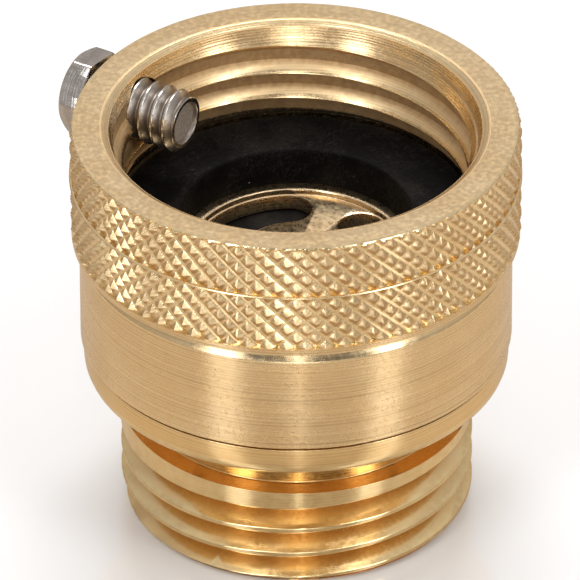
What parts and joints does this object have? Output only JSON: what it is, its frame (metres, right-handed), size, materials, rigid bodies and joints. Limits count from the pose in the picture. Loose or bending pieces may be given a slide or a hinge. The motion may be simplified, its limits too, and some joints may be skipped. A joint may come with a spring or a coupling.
{
  "type": "anti-siphon valve",
  "caption": "Brass hose-tap anti-siphon valve: knurled collar with hose socket and break-off set screw above, male hose thread below, spring-loaded check inside.",
  "frame": {"origin": "centre of the flat ring-shaped end face of the outlet, on the valve's axis", "axes": "+Z along the valve's axis from the outlet up to the inlet; +X to the right and -Y towards the viewer in the picture"},
  "size_m": [0.0351, 0.0342, 0.0331],
  "materials": {
    "shell_brass": "turned and knurled, satin",
    "nipple_brass": "turned, bright",
    "plate_brass": "stamped, dull",
    "spider_brass": "cast, dull",
    "screw_steel": "nickel grey, satin",
    "inner_steel": "stainless, turned",
    "spring_steel": "stainless wire",
    "washer_rubber": "moulded, matt",
    "diaphragm_rubber": "moulded, matt",
    "disc_rubber": "moulded, matt"
  },
  "bodies": {
    "valve_body": {"body_shell": "shell_brass", "outlet_nipple": "nipple_brass", "inlet_washer": "washer_rubber", "seat_plate": "plate_brass", "diaphragm": "diaphragm_rubber", "check_spring": "spring_steel", "guide_spider": "spider_brass"},
    "check": {"check_disc": "disc_rubber", "disc_cup": "inner_steel", "check_stem": "inner_steel", "stem_clip": "spring_steel"},
    "locking_screw": {"set_screw": "screw_steel"}
  },
  "joints": [
    {"name": "check_lift", "type": "slide", "parent": "valve_body", "child": "check", "axis": [0, 0, -1], "range_m": [0, 0.002], "stiffness_N_per_m": 150, "springref_m": -0.003, "deforming": ["check_spring"]},
    {"name": "set_screw_out", "type": "slide", "parent": "valve_body", "child": "locking_screw", "axis": [-0.8572, 0.515, 0], "range_m": [0, 0.005]}
  ]
}
